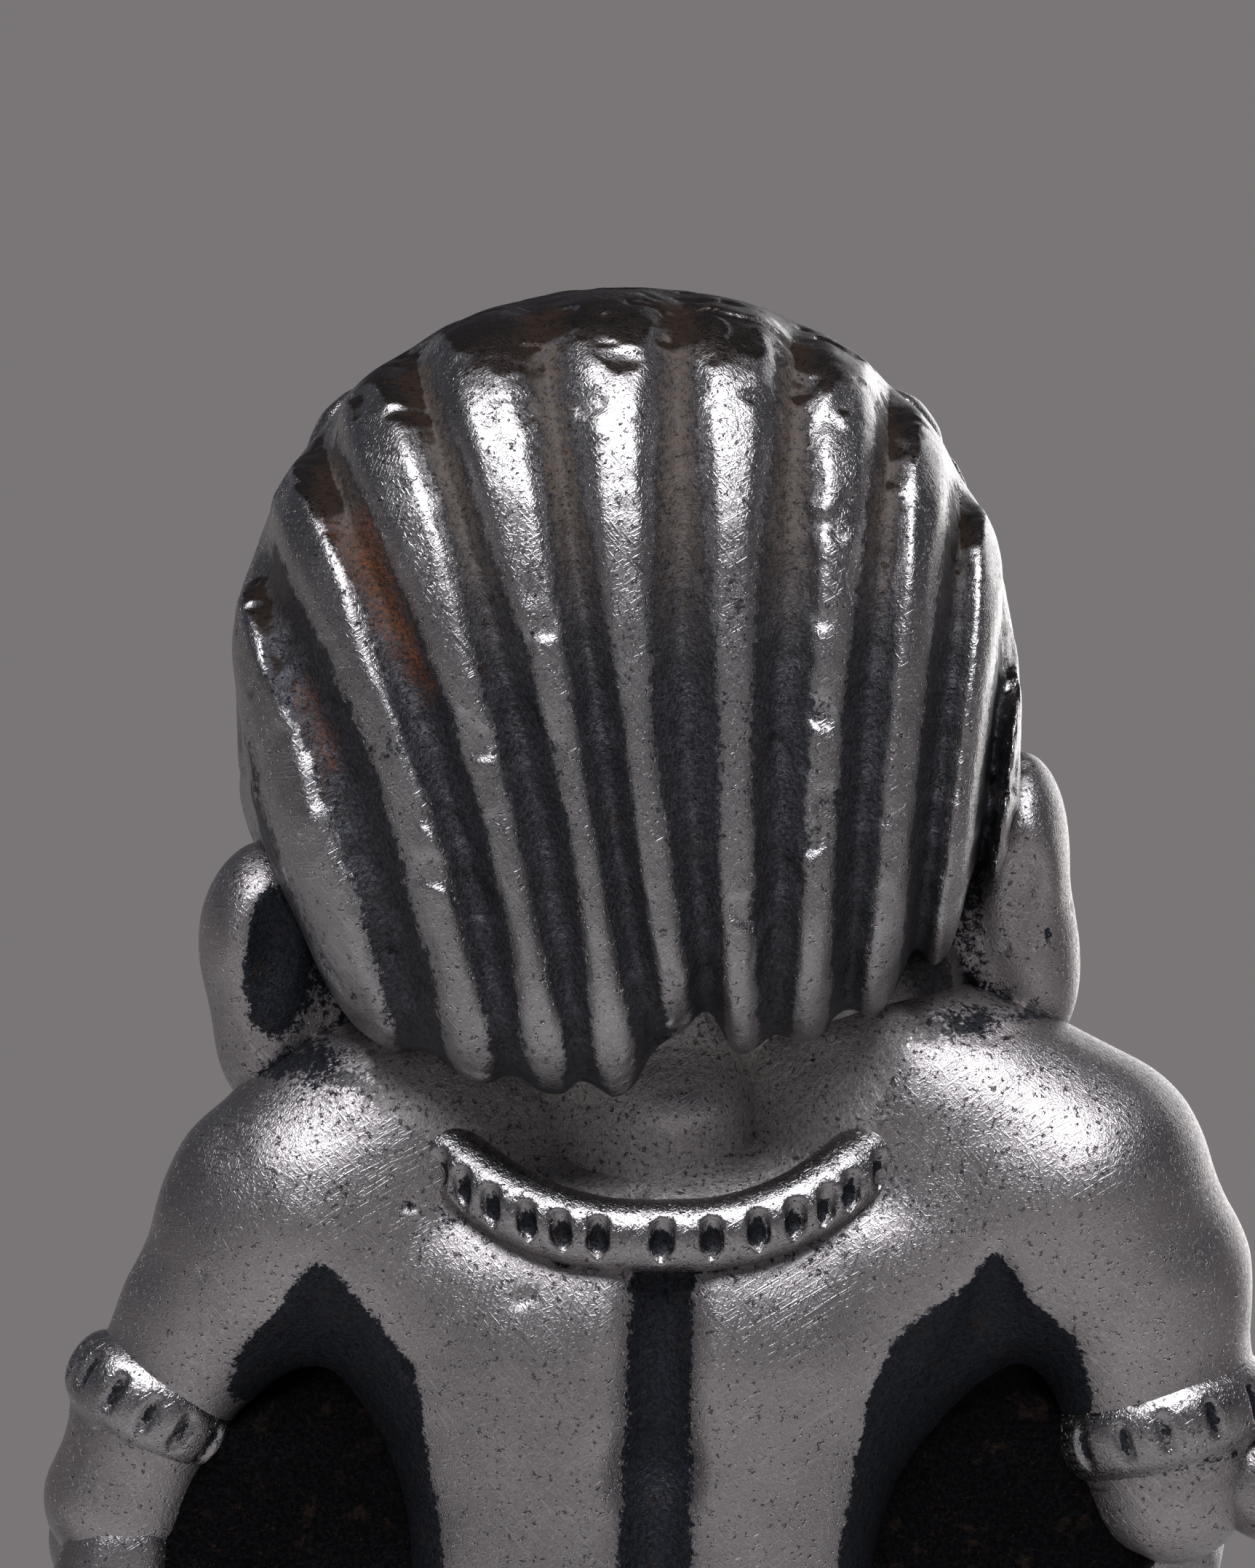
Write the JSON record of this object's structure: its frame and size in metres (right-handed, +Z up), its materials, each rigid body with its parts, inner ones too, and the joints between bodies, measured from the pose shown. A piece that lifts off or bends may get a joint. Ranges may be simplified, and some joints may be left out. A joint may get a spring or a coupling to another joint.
{
  "type": "dancing deity statuette",
  "caption": "Small cast-iron dancing deity with swept-up fluted hair and webbed arms, standing on a dwarf over a double-lotus pedestal, from which it lifts out by a square tang.",
  "frame": {"origin": "middle of the pedestal's flat underside", "axes": "+Z up, -Y is the way the figure faces, the figure's own right side is at -X; the picture is taken from +Y"},
  "size_m": [0.042, 0.024, 0.071],
  "materials": {
    "worn_iron": "worn bright on the high places, with fine scratches and brown-black pits",
    "hair_iron": "polished rib crests with dark patina, dust and a little rust in the grooves",
    "dark_iron": "near-black patina in the sheltered hollows",
    "jewellery_iron": "worn bright, dark in the punch marks and notches",
    "pedestal_iron": "worn bright on the petal tips, dark between",
    "brass": "dull, scratched and tarnished brown"
  },
  "bodies": {
    "pedestal": {"base_pin_1": "brass", "base_pin_2": "brass", "base_pin_3": "brass", "base_pin_4": "brass", "base_plate": "brass", "lower_petals": "pedestal_iron", "platform": "pedestal_iron", "plinth": "pedestal_iron", "upper_petals": "pedestal_iron", "waist_bead_ring": "pedestal_iron"},
    "figure": {"diadem": "jewellery_iron", "drum": "worn_iron", "dwarf_body": "pedestal_iron", "dwarf_head": "pedestal_iron", "flame": "worn_iron", "foot_dowel": "dark_iron", "girdle": "jewellery_iron", "girdle_clasp": "jewellery_iron", "girdle_tassel": "jewellery_iron", "hair": "hair_iron", "head": "worn_iron", "left_anklet": "jewellery_iron", "left_armlet": "jewellery_iron", "left_ear": "worn_iron", "left_foot": "worn_iron", "left_front_bracelet": "jewellery_iron", "left_front_forearm": "worn_iron", "left_front_hand": "worn_iron", "left_leg": "worn_iron", "left_rear_bracelet": "jewellery_iron", "left_rear_forearm": "worn_iron", "left_rear_hand": "worn_iron", "left_web": "dark_iron", "loincloth": "worn_iron", "necklace": "jewellery_iron", "right_anklet": "jewellery_iron", "right_armlet": "jewellery_iron", "right_ear": "worn_iron", "right_foot": "worn_iron", "right_front_bracelet": "jewellery_iron", "right_front_forearm": "worn_iron", "right_front_hand": "worn_iron", "right_leg": "worn_iron", "right_rear_bracelet": "jewellery_iron", "right_rear_forearm": "worn_iron", "right_rear_hand": "worn_iron", "right_web": "dark_iron", "tang": "dark_iron", "torso": "worn_iron"}
  },
  "joints": [
    {"name": "figure_lift", "type": "slide", "parent": "pedestal", "child": "figure", "axis": [0, 0, 1], "range_m": [0, 0.008]}
  ]
}
